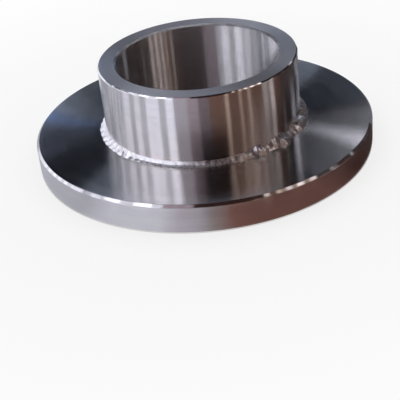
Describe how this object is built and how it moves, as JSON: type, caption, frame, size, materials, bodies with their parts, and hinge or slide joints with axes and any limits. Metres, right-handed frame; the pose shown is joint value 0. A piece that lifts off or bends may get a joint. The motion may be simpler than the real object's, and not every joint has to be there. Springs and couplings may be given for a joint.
{
  "type": "lap joint stub end",
  "caption": "Short heavy-wall pipe barrel welded into a flat lap ring, whose face takes a gasket while a loose backing flange slides over the barrel and clamps the ring.",
  "frame": {"origin": "centre of the gasket face, on the axis, at the surface that the part stands on", "axes": "+Z along the axis, from the gasket face up the barrel to its weld end"},
  "size_m": [0.104, 0.104, 0.0304],
  "materials": {
    "turned_barrel": "satin",
    "faced_ring": "satin",
    "weld_bead": "satin",
    "machined_weld": "satin"
  },
  "bodies": {
    "root": {"barrel": "turned_barrel", "lap_ring": "faced_ring", "back_fillet_weld": "weld_bead", "face_groove_weld": "machined_weld"}
  },
  "joints": []
}
